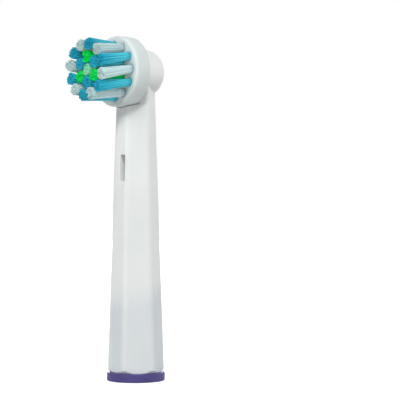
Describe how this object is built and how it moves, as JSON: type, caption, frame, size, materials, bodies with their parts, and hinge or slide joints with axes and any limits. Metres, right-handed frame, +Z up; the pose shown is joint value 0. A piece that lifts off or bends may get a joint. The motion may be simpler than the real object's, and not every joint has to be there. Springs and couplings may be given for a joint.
{
  "type": "electric toothbrush head",
  "caption": "Round oscillating electric toothbrush head: slanted bristle tufts on a swinging disc, a tapered six-sided neck with a drain slot, and a coloured base ring that fits a handle.",
  "frame": {"origin": "centre of the base ring's underside, where the neck's axis leaves it", "axes": "+Z up the neck from the base ring to the brush, the bristles face -Y, +X to the right seen from the bristle side"},
  "size_m": [0.016, 0.022, 0.078],
  "materials": {
    "neck_plastic": "smooth satin white moulding, slightly translucent",
    "disc_plastic": "smooth satin white moulding",
    "ring_plastic": "plain violet moulding",
    "rod_plastic": "natural white bearing plastic",
    "spring_steel": "bright spring strip",
    "pin_steel": "ground pin",
    "anchor_brass": "punched strip",
    "white_bristles": "nylon filaments",
    "blue_bristles": "nylon filaments",
    "green_bristles": "nylon filaments"
  },
  "bodies": {
    "head": {"neck_housing": "neck_plastic", "colour_ring": "ring_plastic", "retaining_pin": "pin_steel"},
    "drive": {"drive_rod": "rod_plastic", "shaft_spring": "spring_steel", "crank_pin": "pin_steel"},
    "brush": {"brush_disc": "disc_plastic", "tuft_anchors": "anchor_brass", "tuft_outer_01": "white_bristles", "tuft_outer_02": "blue_bristles", "tuft_outer_03": "white_bristles", "tuft_outer_04": "blue_bristles", "tuft_outer_05": "white_bristles", "tuft_outer_06": "blue_bristles", "tuft_outer_07": "white_bristles", "tuft_outer_08": "blue_bristles", "tuft_outer_09": "white_bristles", "tuft_outer_10": "blue_bristles", "tuft_outer_11": "white_bristles", "tuft_outer_12": "blue_bristles", "tuft_inner_1": "blue_bristles", "tuft_inner_2": "green_bristles", "tuft_inner_3": "blue_bristles", "tuft_inner_4": "green_bristles", "tuft_inner_5": "blue_bristles", "tuft_inner_6": "green_bristles", "tuft_centre": "white_bristles"}
  },
  "joints": [
    {"name": "drive_rod_turn", "type": "hinge", "parent": "head", "child": "drive", "pos_m": [0, 0, 0.0355], "axis": [0, 0, 1], "range_deg": [-29.8, 29.8]},
    {"name": "disc_swing", "type": "hinge", "parent": "head", "child": "brush", "pos_m": [0, 0, 0.07], "axis": [0, 1, 0], "range_deg": [-22.5, 22.5]}
  ],
  "couplings": [
    {"joint": "disc_swing", "follows": "drive_rod_turn", "ratio": 0.755}
  ]
}
